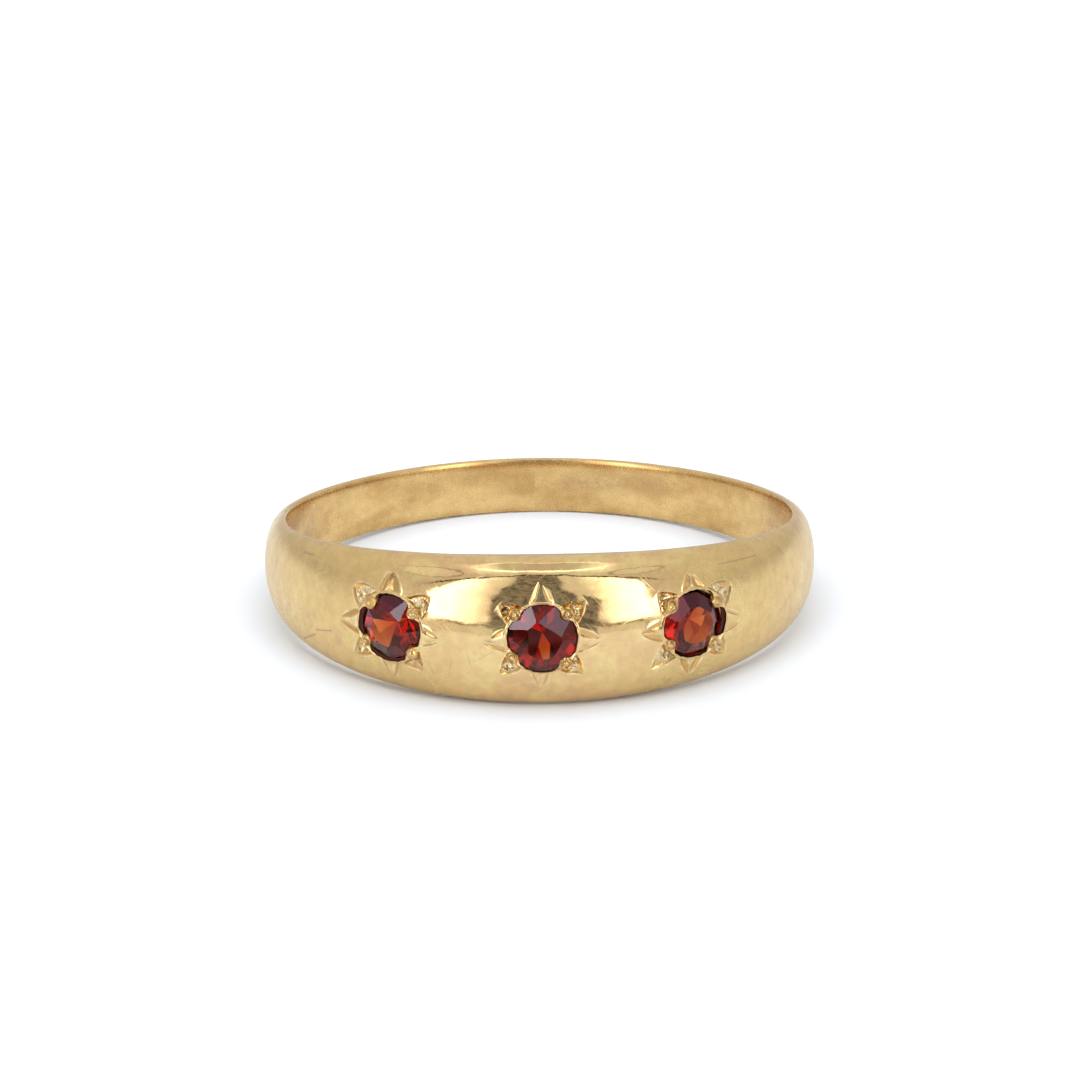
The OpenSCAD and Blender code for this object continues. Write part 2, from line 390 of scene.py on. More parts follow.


# Columns of the tables below, in millimetres and degrees.
# Crown: direction, tilt, distance of its edge with the table's level, place in the table of painted facet
# reflections below.
# Pavilion: direction, tilt.
# Leaves: near edge, far edge, tip along the ray, tip aside, bottom. Each row has a ray's two, and the rays
# go to the right, up, left and down. Corners: from the upper right one round.
STARS = [
    Star(
        "left", -1, hole=(-0.02, -0.045, 1.31, 1.235), stone=(1.15, 0.18, 0.90), shift=(0.0, 0.0),
        density=4200.0, soot=3, table=(90, 4),
        crown=[
            (122, 30, 0.50, 2), (84, 33, 0.50, 2), (59, 27, 0.44, 1), (30, 34, 0.52, 0),
            (165, 30, 0.60, 2), (205, 33, 0.66, 0), (245, 33, 0.70, 0), (285, 34, 0.72, 0),
            (325, 33, 0.70, 0), (355, 33, 0.66, 0),
        ],
        pavilion=[(14, 42), (59, 42), (104, 42), (149, 42), (194, 40), (239, 42), (284, 42), (329, 42)],
        leaves=[
            (-0.35, -0.56, 1.93, -0.31, 0.3), (-0.02, 0.27, 1.96, -0.18, -0.3),
            (0.10, -0.45, 1.95, -0.03, -0.3), (0.22, 0.51, 1.93, 0.15, 0.2),
            (-0.20, -0.47, 2.13, 0.00, 0.5), (0.23, 0.53, 2.20, 0.13, 0.6),
            (-0.29, -0.43, 1.88, -0.14, 0.2), (0.20, 0.37, 1.95, -0.01, -0.3),
        ],
        corners=[
            Corner((17, 59), (2.07, 38.7), 1.25, 0.20, (1.15, 33, 0.24, 0.8), (1.60, 36, 0.22)),
            Corner((116, 160), (2.07, 142.4), 1.45, 0.26, (1.12, 137, 0.26, 0.5), (1.55, 142, 0.22)),
            Corner((204, 236), (2.08, 217.5), 1.2, 0.14, (1.22, 213, 0.23, 0.9), (1.68, 219, 0.20)),
            Corner((291, 330), (1.92, 311), 1.1, 0.18, (1.23, -43.5, 0.26, 0.1), (1.66, -45, 0.14)),
        ],
    ),
    Star(
        "centre", 0, hole=(0.0, -0.02, 1.255, 1.24), stone=(1.20, 0.13, 0.97), shift=(0.0, 0.0),
        density=4400.0, soot=6, table=(90, 4),
        crown=[
            (130, 29, 0.54, 1), (62, 24, 0.39, 1), (83, 29.5, 0.529, 0), (40.6, 34.9, 0.80, 0),
            (20, 30.7, 0.66, 0), (166.7, 19, 0.474, 0), (200, 30, 0.68, 0), (235, 32, 0.74, 0),
            (270, 33, 0.76, 0), (305, 32, 0.74, 0), (340, 30, 0.68, 0),
        ],
        pavilion=[(24, 44), (74, 44), (124, 44), (174, 44), (222, 44), (279, 43.6), (336, 44)],
        leaves=[
            (-0.33, -0.57, 2.04, -0.17, 0.7), (0.06, 0.39, 2.02, -0.04, -0.6),
            (-0.20, -0.44, 1.84, -0.04, -0.2), (0.24, 0.46, 1.96, 0.12, 0.1),
            (-0.08, -0.37, 1.79, 0.00, 0.4), (0.28, 0.54, 2.10, 0.19, 0.6),
            (-0.30, -0.43, 1.88, -0.10, 0.2), (0.11, 0.27, 1.83, 0.03, -0.2),
        ],
        corners=[
            Corner((23, 60), (2.03, 41), 1.1, 0.12, (1.25, 45, 0.23, 1), (1.57, 41.5, 0.22)),
            Corner((120.5, 157), (1.94, 142.4), 1.0, 0.07, (1.30, 139, 0.23, 1), (1.60, 143.5, 0.16)),
            Corner((204, 237), (2.05, 223), 1.2, 0.13, (1.28, 213.6, 0.24, 1), (1.62, 220, 0.22)),
            Corner((296, 333), (1.98, 316.5), 1.1, 0.14, (1.24, -49, 0.25, 1), (1.46, -37, 0.18)),
        ],
    ),
    Star(
        "right", 1, hole=(0.05, -0.025, 1.34, 1.225), stone=(1.19, 0.25, 0.66), shift=(0.05, 0.0),
        density=4500.0, soot=3, table=(90, 5),
        crown=[
            (122, 33, 0.52, 2), (95, 33, 0.50, 2), (62, 32, 0.50, 2), (15, 33, 0.62, 0),
            (158, 30, 0.74, 0), (195, 30, 0.80, 0), (235, 31, 0.80, 0), (275, 34, 0.76, 0),
            (315, 33, 0.70, 0), (345, 33, 0.68, 0),
        ],
        pavilion=[(33, 33), (78, 30), (123, 26), (168, 24), (213, 26), (258, 33), (303, 33), (348, 33)],
        leaves=[
            (-0.44, -0.63, 2.08, -0.34, 0.3), (0.13, 0.31, 2.03, -0.08, -0.4),
            (-0.06, -0.50, 1.72, -0.06, 0.1), (0.12, 0.47, 1.79, 0.10, -0.2),
            (-0.02, -0.36, 2.12, 0.05, -0.2), (0.18, 0.50, 2.12, 0.08, 0.5),
            (-0.26, -0.62, 1.93, -0.05, 0.2), (0.10, 0.44, 1.93, -0.02, -0.2),
        ],
        corners=[
            Corner((14, 62), (2.07, 33.6), 1.25, 0.22, (1.18, 31, 0.22, 1), (1.62, 32.5, 0.22)),
            Corner((119, 160), (1.96, 138), 1.2, 0.24, (1.22, 141, 0.27, 1), (1.62, 137.5, 0.13)),
            Corner((202.5, 238), (2.23, 221.5), 1.1, 0.16, (1.20, 212.5, 0.22, 1), (1.45, 224, 0.18)),
            Corner((299, 333), (1.98, 315), 1.3, 0.28, (1.18, -45, 0.26, 1), (1.60, -47, 0.20)),
        ],
    ),
]


def spread(cells):
    """Even steps from -1 to 1, drawn together at the middle."""
    step = np.linspace(-1, 1, cells + 1)
    return (1 - CROWDING) * step + CROWDING * step**3


def between(start, end, steps):
    """Values between two, without either."""
    return [start * (1 - part) + end * part for part in np.linspace(0, 1, steps + 1)[1:-1]]


def column_angles():
    """Angles of the band's columns, and the first column of each star's patch."""
    stops = [star.angle - PATCH_HALF_TURN for star in STARS]
    stops.append(stops[0] + WHOLE_TURN)
    angles = []
    firsts = []
    for star, stop, count in zip(STARS, stops[1:], (COLUMNS_BETWEEN, COLUMNS_BETWEEN, SHANK_COLUMNS)):
        firsts.append(len(angles))
        angles += list(star.angle + spread(PATCH_CELLS) * PATCH_HALF_TURN)
        angles += list(np.linspace(star.angle + PATCH_HALF_TURN, stop, count + 1)[1:-1])
    return np.array(angles), firsts


def rounded(start, corner, end, steps):
    """Rows of a rounded corner after its start, each a distance and a height."""
    rows = []
    for part in np.linspace(0, 1, steps + 1)[1:]:
        weights = ((1 - part) ** 2, 2 * part * (1 - part), part**2)
        rows.append([sum(w * p[i] for w, p in zip(weights, (start, corner, end))) for i in range(2)])
    return rows


def dome_row(angle, slant):
    """One row of the domed skin: distance and height at each column."""
    r = FINGER_R + band_t(angle) * math.cos(slant) ** (2 * DOME_POWER)
    return r, band_w(angle) / 2 * math.sin(slant) / math.sin(SIDE_SLANT)


def rim_rows(angle):
    """Rows over the band's upper rim, from the star patches to the bore's patches."""
    half = band_w(angle) / 2
    rows = [dome_row(angle, slant) for slant in MARGIN_SLANTS]
    outer = dome_row(angle, SIDE_SLANT)[0]
    middle = (outer + FINGER_R) / 2
    turn = (angle + math.pi) % WHOLE_TURN - math.pi
    headward = np.clip(1 - (turn / FLAT_HALF_TURN) ** 2, 0, 1)
    flat = FLAT_W / 2 * headward
    edge = BORE_EDGE_SHANK + (BORE_EDGE_HEAD - BORE_EDGE_SHANK) * smooth(np.cos(turn) * 2 - 1)
    rows += rounded(rows[-1], (outer, half), (middle + flat, half), RIM_STEPS)
    rows.append((middle - flat, half))
    rows += rounded(rows[-1], (FINGER_R, half), (FINGER_R, half - edge), BORE_EDGE_STEPS)
    heights = between(half - edge, half * BORE_PATCH_SHARE, BORE_STEPS)
    return rows + [(FINGER_R, height) for height in heights]


def section_rows(angle):
    """Rows of the section up the dome, over the rim, down the bore and back under, and the bore's first."""
    dome = [dome_row(angle, slant) for slant in spread(PATCH_CELLS) * PATCH_SLANT]
    rim = rim_rows(angle)
    bore_half = band_w(angle) / 2 * BORE_PATCH_SHARE
    bore = [(FINGER_R, bore_half * step) for step in spread(PATCH_CELLS)[::-1]]
    under = [(r, -height) for r, height in rim[::-1]]
    return dome + rim + bore + under, len(dome) + len(rim)


def patch_loop(first, row, up):
    """Rows and columns round one patch, counter-clockwise from the middle of its right side."""
    cells = PATCH_CELLS
    half = cells // 2
    steps = [(cells, j) for j in range(half, cells)]
    steps += [(i, cells) for i in range(cells, 0, -1)]
    steps += [(0, j) for j in range(cells, 0, -1)]
    steps += [(i, 0) for i in range(cells)]
    steps += [(cells, j) for j in range(half)]
    return [(row + (j if up else cells - j), first + i) for i, j in steps]


def bumps(x, y, scale, seed):
    """Small uneven hills about 1 high, by waves that cross in five directions."""
    waves = 5
    total = 0 * x
    for i in range(waves):
        turn = seed + 2.4 * i
        length = scale * (1 + 0.37 * i)
        total = total + np.sin(length * (x * math.cos(turn) + y * math.sin(turn)) + 1.7 * turn)
    return total / waves


def star_lift(star, turn, r, depth):
    """How far the metal round a stone stands off the plain skin."""
    x = r * np.cos(turn)
    y = r * np.sin(turn)
    edge = star.hole_r(turn)
    lift = RIM_LIFT * np.exp(-(((r - edge - 0.4 * RIM_W) / RIM_HALF_W) ** 2)) - depth
    for corner in star.corners:
        away = np.hypot(x - corner.hollow[0], y - corner.hollow[1]) / corner.hollow_size
        lift = lift - HOLLOW_DEPTH * np.clip(1 - away**2, 0, 1) * smooth(depth / HOLLOW_FROM)
    rough = smooth((depth - PITS_FROM) / PITS_RAMP)
    lift = lift + rough * PIT_DEPTH * bumps(x, y, PIT_SCALE, star.angle)
    lapped = star.crown_z(r) + LAP_T - skin_z(star.angle, x, y)
    return np.where(r < edge + RIM_W, np.maximum(lift, lapped), lift)


def closed(values, turn):
    """Values round a star, with the last two before them and the first two after, a turn away."""
    return np.concatenate([values[-2:] - turn, values, values[:2] + turn])


def star_rings(star, outer_loop):
    """Rings of the engraved skin from the lip to the patch's edge: points, how sunk, and how bright."""
    line_columns, line_angles, line_depths, line_edges = star.lines(np.linspace(0, 1, STAR_RINGS))
    known = closed(line_columns, STRIP_COLUMNS)
    columns = np.arange(STRIP_COLUMNS)
    rings = []
    for i, share in enumerate(np.linspace(0, 1, STAR_RINGS)):
        turn = np.interp(columns, known, closed(line_angles[:, i], WHOLE_TURN))
        depth = np.interp(columns, known, closed(line_depths[:, i], 0))
        # Bright marks on the cuts' edges lift a small burr and bring a painted highlight.
        edge = np.zeros(STRIP_COLUMNS)
        edge[line_columns] = line_edges[:, i]
        r = star.ring_r(turn, share)
        steps = [(r, depth)]
        if i == 0:
            lip = star.lip_r(turn)
            steps = [(lip + (r - lip) * part, 0 * depth) for part in np.linspace(0, 1, LIP_RINGS)]
        for r, depth in steps:
            x = r * np.cos(turn)
            y = r * np.sin(turn)
            lift = star_lift(star, turn, r, depth)
            points = over_skin(star.angle, x, y, lift + EDGE_BURR * edge)
            rings.append((points, np.maximum(0, -lift), edge))
    for x, y in between(np.array([x, y]), outer_loop[:, :2].T, RELAX_RINGS + 1):
        rings.append((over_skin(star.angle, x, y, 0 * x), 0 * x, 0 * x))
    return rings


def seat_rings(star, bore_loop, lip_ring):
    """Rings from the bore's patch through the light hole and the seat, up to under the lip."""
    even = WHOLE_TURN * np.arange(STRIP_COLUMNS) / STRIP_COLUMNS
    cut = np.unwrap(np.arctan2(lip_ring[:, 1], lip_ring[:, 0]))
    lip = np.hypot(lip_ring[:, 0], lip_ring[:, 1])
    seat_r = star.stone_r + SEAT_GAP
    bearing_z = -star.sink - GIRDLE_T - BEARING_GAP
    open_r = OPEN_SHARE * star.stone_r
    bearing_low = bearing_z - (seat_r - open_r) * star.pavilion_share
    hole = np.array([np.cos(even), np.sin(even)])
    leads = [(LIGHT_HOLE_R + HOLE_FLARE + LEAD_IN * part) * hole for part in (0.75, 0.5, 0.25, 0)]
    leads = between(bore_loop[:, :2].T, leads[0], 4) + leads
    rings = [over_bore(star.angle, x, y) for x, y in leads]
    rings.append(over_bore(star.angle, *(LIGHT_HOLE_R * hole), HOLE_FLARE))
    under_lip = np.maximum(lip_ring[:, 2] - LIP_T, star.crown_z(lip) + LIP_CLEAR)
    girdle = np.maximum(seat_r, lip - GIRDLE_COVER)
    # Each level's distance, height, share of the lip's angles, and share of the stone's shift
    levels = [
        (open_r, bearing_low, 0.2, 1),
        ((open_r + seat_r) / 2, (bearing_low + bearing_z) / 2, 0.6, 1),
        (seat_r, bearing_z, 1.0, 1),
        (seat_r, bearing_z + GIRDLE_T + SEAT_GAP, 1.0, 1),
        (girdle, under_lip * 0.4 + (bearing_z + GIRDLE_T) * 0.6, 1.0, 0.5),
        (lip + LIP_ROUND, under_lip, 1.0, 0),
    ]
    for r, z, share, shifted in levels:
        turn = even * (1 - share) + cut * share
        x, y = np.array(star.shift) * shifted
        rings.append(at(r * np.cos(turn) + x, r * np.sin(turn) + y, z))
    return rings


def grain_mesh():
    """A grain's points along x and y in shares of its size, their rings, and its faces."""
    rings = len(GRAIN_RINGS)
    turn = WHOLE_TURN * np.arange(GRAIN_STEPS) / GRAIN_STEPS
    share = np.concatenate([[0], np.repeat(GRAIN_RINGS, GRAIN_STEPS)])
    turns = np.concatenate([[0], np.tile(turn, rings)])
    ring = np.concatenate([[0], np.repeat(np.arange(1, rings + 1), GRAIN_STEPS)])
    faces = []
    for i in range(GRAIN_STEPS):
        j = (i + 1) % GRAIN_STEPS
        faces.append((0, 1 + i, 1 + j))
        for low in range(1, 1 + (rings - 1) * GRAIN_STEPS, GRAIN_STEPS):
            high = low + GRAIN_STEPS
            faces.append((low + i, high + i, high + j, low + j))
    return share * np.cos(turns), share * np.sin(turns), ring, faces


def grain_points(star, corner, along, aside, ring):
    """One grain of a corner, a little uneven, over the metal and the stone's edge."""
    heights = np.concatenate([[GRAIN_TOP], CUPPED * corner.cup + DOMED * (1 - corner.cup)])[ring]
    uneven = 1 + GRAIN_UNEVEN * bumps(along, aside, 2.2, 3 * corner.tip + star.angle)
    x = corner.grain[0] + corner.grain_size * along * uneven
    y = corner.grain[1] + corner.grain_size * aside * uneven
    base = np.maximum(skin_z(star.angle, x, y), star.crown_z(np.hypot(x, y)))
    return at(x, y, base - GRAIN_SINK + corner.grain_size * heights * np.minimum(1, uneven))


class BandMesh:
    """Points and faces of the band, gathered part by part, and marks of how sunk and how bright."""

    def __init__(self):
        self.points = []
        self.faces = []
        self.sunk = []
        self.edge = []
        self.count = 0

    def add(self, points, sunk, edge):
        """Adds points and their marks, and gives the index of the first."""
        first = self.count
        self.points.append(points)
        self.sunk.append(sunk)
        self.edge.append(edge)
        self.count += len(points)
        return first

    def add_grid(self, grid, bore_row, firsts):
        """Adds the plain skin and bore, with a gap for each star's strip."""
        height, width = grid.shape[:2]
        in_patch = np.zeros((height, width), bool)
        for first in firsts:
            for row in (0, bore_row):
                in_patch[row : row + PATCH_CELLS, first : first + PATCH_CELLS] = True
        for j, i in np.argwhere(~in_patch).tolist():
            low = j * width
            high = (j + 1) % height * width
            after = (i + 1) % width
            self.faces.append((low + i, low + after, high + after, high + i))
        flat = grid.reshape(-1, 3)
        self.add(flat, np.zeros(len(flat)), np.zeros(len(flat)))

    def add_strip(self, star, grid, first, bore_row):
        """Adds the metal under and round one stone, from the bore to the skin."""
        outer = patch_loop(first, 0, True)
        inner = patch_loop(first, bore_row, False)
        outer_loop, bore_loop = [
            to_stone(star.angle, np.array([grid[place] for place in loop])) for loop in (outer, inner)
        ]
        skin = star_rings(star, outer_loop)
        seat = seat_rings(star, bore_loop, skin[0][0])
        plain = np.zeros(STRIP_COLUMNS)
        # The seat's last rings, next to the stone, are marked for painted shade, nearly black.
        rings = [(ring, plain + (i >= len(seat) - star.soot), plain) for i, ring in enumerate(seat)] + skin
        loops = [[row * grid.shape[1] + column for row, column in inner]]
        for ring, sunk, edge in rings:
            start = self.add(from_stone(star.angle, ring), sunk, edge)
            loops.append(range(start, start + STRIP_COLUMNS))
        loops.append([row * grid.shape[1] + column for row, column in outer])
        for low, high in zip(loops, loops[1:]):
            for c in range(STRIP_COLUMNS):
                d = (c + 1) % STRIP_COLUMNS
                self.faces.append((low[c], high[c], high[d], low[d]))

    def add_grains(self):
        """Adds the twelve grains."""
        along, aside, ring, grain_faces = grain_mesh()
        in_groove = (ring > 3) & (ring < 8)
        for star in STARS:
            for corner in star.corners:
                shell = from_stone(star.angle, grain_points(star, corner, along, aside, ring))
                # A grain takes the cuts' painted shade, the groove round a cupped one also the recesses'
                # painted colours, and its top a painted highlight.
                sunk = np.where(in_groove, GROOVE_SUNK * corner.cup, GRAIN_SUNK)
                first = self.add(shell, sunk, np.where(ring < 2, GRAIN_SHINE, 0.0))
                self.faces += [tuple(v + first for v in face) for face in grain_faces]


def band_mesh():
    """The band as one mesh: plain skin and bore, three engraved strips through the metal, and grains."""
    angles, firsts = column_angles()
    rows, bore_row = section_rows(angles)
    grid = np.array([round_finger(r, angles, height) for r, height in rows])
    mesh = BandMesh()
    mesh.add_grid(grid, bore_row, firsts)
    for star, first in zip(STARS, firsts):
        mesh.add_strip(star, grid, first, bore_row)
    mesh.add_grains()
    marks = {"sunk": np.concatenate(mesh.sunk), "edge": np.concatenate(mesh.edge)}
    return np.concatenate(mesh.points), mesh.faces, marks


def add_object(name, points, faces, material):
    """A new object with one mesh, its points given in metres."""
    mesh = bpy.data.meshes.new(name)
    mesh.from_pydata(points, [], faces)
    mesh.materials.append(material)
    added = bpy.data.objects.new(name, mesh)
    bpy.context.scene.collection.objects.link(added)
    return added


def add_piece(name, points, faces, node, material):
    """A new piece that stands for a node of the frame, from points in the ring's frame."""
    piece = add_object(name, laid(points).tolist(), faces, material)
    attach(piece, "root")
    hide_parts(node)
    return piece


def clipped(polygon, normal, distance):
    """The part of a flat polygon that lies behind a plane."""
    heights = [float(np.dot(normal, point)) - distance for point in polygon]
    kept = []
    for i, point in enumerate(polygon):
        before = heights[i - 1]
        here = heights[i]
        if (before < 0) != (here < 0):
            share = before / (before - here)
            kept.append(polygon[i - 1] * (1 - share) + point * share)
        if here < 0:
            kept.append(point)
    return kept


# A direction that no facet faces
ASKEW = (0.31, 0.87, 0.39)


def convex(planes, reach):
    """Points and faces of the solid behind all planes (outward normal, distance), and each face's plane."""
    points = []
    index = {}
    faces = []
    sources = []
    for i, (normal, distance) in enumerate(planes):
        side = np.cross(normal, ASKEW)
        side = side / np.linalg.norm(side)
        up = np.cross(normal, side)
        middle = normal * distance
        polygon = [middle + reach * (a * side + b * up) for a, b in ((1, 1), (-1, 1), (-1, -1), (1, -1))]
        for other, (cut_normal, cut_distance) in enumerate(planes):
            if other != i and polygon:
                polygon = clipped(polygon, cut_normal, cut_distance)
        face = []
        for point in polygon:
            number = index.setdefault(tuple(np.round(point, 5)), len(points))
            if number == len(points):
                points.append(point)
            if number not in face:
                face.append(number)
        if len(face) > 2:
            faces.append(face)
            sources.append(i)
    return np.array(points), faces, sources


def plane(direction, tilt, point):
    """A plane through a point, its normal tilted from straight up toward a direction, in degrees."""
    lean = math.radians(tilt)
    normal = np.append(aimed(math.sin(lean), direction), math.cos(lean))
    return normal, float(np.dot(normal, point))


def cut_stone(star):
    """Points and faces of a stone cut by hand: a leaning table, uneven crown, girdle and pavilion."""
    table_z = CROWN_SHARE * star.stone_r
    planes = [plane(*star.table, (0, 0, table_z))]
    for direction, tilt, reach, _ in star.crown:
        planes.append(plane(direction, tilt, np.append(aimed(reach, direction), table_z)))
    for step in range(GIRDLE_STEPS):
        direction = 360 * step / GIRDLE_STEPS
        planes.append(plane(direction, 90, np.append(aimed(star.stone_r, direction), 0)))
    low = -GIRDLE_T - star.pavilion_share * star.stone_r
    lower_tilt = math.degrees(math.atan(star.pavilion_share)) + LOWER_STEEPER
    for direction, tilt in star.pavilion:
        planes.append(plane(direction, 180 - tilt, (0, 0, low)))
        for half in (-1, 1):
            aside = direction + half * 90 / len(star.pavilion)
            edge = np.append(aimed(star.stone_r, aside), -GIRDLE_T)
            planes.append(plane(aside, 180 - lower_tilt, edge))
    return convex(planes, 4 * star.stone_r)


# Painted reflections set facet by facet: how strongly a facet mirrors each colour, by the number in the
# crown's last column: 0, 1 and 2
FACET_REFLECTIONS = {
    "calm": (1.0, 0.38, 0.32, 1),
    "gleam": (1.0, 0.78, 0.86, 1),
    "veil": (1.0, 0.34, 0.42, 1),
}
GARNET_IOR = 1.79
GARNET_DEPTHS = (0.875, 0.46, 0.0, 1)


def add_stones():
    """The three garnets in their seats, with painted reflections: chosen facets gleam brighter or dimmer in
    a material of their own.
    """
    for star in STARS:
        name = "garnet_" + star.name
        reflection_materials = [garnet_material(name + "_" + key, tint, star.density) for key, tint in FACET_REFLECTIONS.items()]
        points, faces, sources = cut_stone(star)
        points = from_stone(star.angle, points + (*star.shift, -star.sink))
        stone = add_piece(name, points, faces, "stone_" + star.name, reflection_materials[0])
        for reflection_material in reflection_materials[1:]:
            stone.data.materials.append(reflection_material)
        # Chosen crown facets take a brighter or dimmer painted reflection
        facets = {i + 1: facet[3] for i, facet in enumerate(star.crown)}
        for face, source in zip(stone.data.polygons, sources):
            face.material_index = facets.get(source, 0)


class Value:
    """A shader node's output, on which sums and products add further nodes."""

    def __init__(self, output):
        self.output = output

    def __add__(self, other):
        return calc("ADD", self, other)

    def __sub__(self, other):
        return calc("SUBTRACT", self, other)

    def __mul__(self, other):
        return calc("MULTIPLY", self, other)

    def __neg__(self):
        return self * -1.0

    def __abs__(self):
        return calc("ABSOLUTE", self)


def feed(socket, value):
    """Gives an input a number or a colour, or links a Value to it."""
    if isinstance(value, Value):
        socket.id_data.links.new(value.output, socket)
    else:
        socket.default_value = value


def first_node(tree, kind, inputs=(), out=0, **settings):
    """One output of a new node in a tree."""
    node = tree.nodes.new(kind)
    for key, value in settings.items():
        setattr(node, key, value)
    for key, value in dict(inputs).items():
        feed(node.inputs[key], value)
    return Value(node.outputs[out])


def node(kind, inputs, out=0, **settings):
    """One output of a new node, in the tree of the Values that are fed to it."""
    linked = next(value for value in inputs.values() if isinstance(value, Value))
    return first_node(linked.output.id_data, kind, inputs, out, **settings)


def calc(operation, first, second=0.0, third=0.0):
    return node("ShaderNodeMath", {0: first, 1: second, 2: third}, operation=operation)


def combined(x, y):
    return node("ShaderNodeCombineXYZ", {0: x, 1: y})


def parts(way):
    """A vector's x, y and z."""
    return [Value(output) for output in node("ShaderNodeSeparateXYZ", {0: way}).output.node.outputs]


def length(x, y):
    return calc("SQRT", x * x + y * y)


def turn_of(x, y):
    """Angle round from the front."""
    return calc("ARCTAN2", x, -y)


def ramp(value, low, high):
    """0 below low, 1 above high, smooth between."""
    ends = {"Value": value, "From Min": low, "From Max": high}
    return node("ShaderNodeMapRange", ends, interpolation_type="SMOOTHSTEP")


def band(value, low, high, soft):
    """1 between low and high, 0 outside, with soft edges."""
    return ramp(value - low, -soft, soft) * ramp(calc("SUBTRACT", high, value), -soft, soft)


def mix(share, first, second):
    """A colour a share of the way from the first to the second."""
    return node("ShaderNodeMix", {0: share, 6: first, 7: second}, out=2, data_type="RGBA")


def blend(share, first, second):
    """A number a share of the way from the first to the second."""
    return node("ShaderNodeMix", {0: share, 2: first, 3: second})


def noise(place, scale, detail, roughness):
    ends = {"Vector": place, "Scale": scale, "Detail": detail, "Roughness": roughness}
    return node("ShaderNodeTexNoise", ends, out="Fac")


def new_material(name):
    """A new material, its node tree and its surface."""
    material = bpy.data.materials.new(name)
    material.use_nodes = True
    return material, material.node_tree, material.node_tree.nodes["Principled BSDF"]


def feed_all(shader, inputs):
    """Feeds a shader's inputs by name."""
    for key, value in inputs.items():
        feed(shader.inputs[key], value)


# Distance from the finger's axis, in millimetres, at which the skin is unrolled for marks on it
UNROLL_R = 10.5

# Strokes on the skin: from and to degrees round the head and millimetres up, and half width in millimetres
DARK_STROKES = [
    (-59.8, 1.65, -55.6, 1.71, 0.060),
    (-52.6, -0.85, -47.3, -0.67, 0.050),
    (-59.2, -1.49, -53.2, -1.05, 0.070),
    (38.4, 1.84, 49.8, 1.72, 0.035),
    (-15.4, -0.47, -14.6, -1.14, 0.018),
    (-14.1, -0.94, -10.1, -0.52, 0.016),
    (-18.4, -0.89, -19.1, -1.49, 0.018),
    (-23.6, -1.05, -22.4, -1.58, 0.018),
]
INNER_STAINS = [
    (-106, 0.55, -96, -0.35, 0.75),
    (-116, 0.20, -110, -0.40, 0.55),
    (172, 0.10, 150, 0.30, 0.60),
]
HAIR_WAYS = (24, -48)


def hair_scratches(turn, z, degrees):
    """Fine scratches that run at an angle over the unrolled skin."""
    along, aside = aimed(1, degrees).tolist()
    u = turn * (UNROLL_R * MM)
    stretched = combined((u * along + z * aside) * 0.05, z * along + u * -aside)
    return ramp(noise(stretched, *HAIRS), 0.66, 0.74)


def stroke_marks(turn, z, strokes):
    """Short strokes on the skin, from a table like DARK_STROKES, 1 at their middle lines."""
    total = 0.0
    u = turn * UNROLL_R
    v = z * (1 / MM)
    for from_turn, from_z, to_turn, to_z, half_w in strokes:
        start = np.array([math.radians(from_turn) * UNROLL_R, from_z])
        way = np.array([math.radians(to_turn) * UNROLL_R, to_z]) - start
        along = way / float(way @ way)
        du = u - float(start[0])
        dv = v - float(start[1])
        part = du * float(along[0]) + dv * float(along[1])
        part = calc("MINIMUM", calc("MAXIMUM", part, 0.0), 1.0)
        off_u = calc("MULTIPLY_ADD", part, float(-way[0]), du)
        off_v = calc("MULTIPLY_ADD", part, float(-way[1]), dv)
        total = calc("MAXIMUM", total, ramp(length(off_u, off_v), half_w, 0.0))
    return total


# Noise that marks the gold: scale, detail and roughness
CLOUD = (700.0, 4.0, 0.6)
FINE_CLOUD = (2600.0, 3.0, 0.6)
GRIT = (14000.0, 2.0, 0.6)
STAINS = (1500.0, 4.0, 0.7)
PITS = (5200.0, 2.0, 0.6)
BANDS = (4.0, 3.0, 0.5)
HAIRS = (11000.0, 1.0, 0.5)
WAVES = (900.0, 1.0, 0.4)
HAIRLINES = (26000.0, 2.0, 0.6)

# Colours of the gold in its places: the cuts' darker amber and the seats' nearly black colour are painted
# shade, the recesses' paler colour and the pale edge colour are painted light
GOLD = {
    "head": (0.80, 0.595, 0.268, 1),
    "warm": (0.765, 0.515, 0.245, 1),
    "worn": (0.70, 0.50, 0.20, 1),
    "stain": (0.60, 0.38, 0.22, 1),
    "inner": (0.64, 0.40, 0.155, 1),
    "inner_pale": (0.79, 0.535, 0.225, 1),
    "soot": (0.46, 0.29, 0.14, 1),
    "cut": (0.64, 0.40, 0.15, 1),
    "recess": (0.74, 0.58, 0.33, 1),
    "pit": (0.26, 0.18, 0.08, 1),
    "chipped": (0.95, 0.78, 0.50, 1),
    "scratch": (0.34, 0.25, 0.20, 1),
    "grime": (0.10, 0.035, 0.028, 1),
}

# How much of its colour a mark takes
SHARE = {"worn": 0.6, "stain": 0.5, "soot": 0.6, "pit": 0.6, "scratch": 0.6}

# Roughness of the gold in its places, and what marks add to it
ROUGHNESS = {"head": 0.05, "worn": 0.26, "worn_warm": 0.34, "inside": 0.27}
ROUGHER = {"hairs": 0.22, "cut": 0.03, "strokes": 0.2, "grit": 0.10, "grime": 0.3}

# Height of the gold's bumps in millimetres
RELIEF = {"waves": 0.013, "grit": 0.0003, "hairlines": 0.0004}


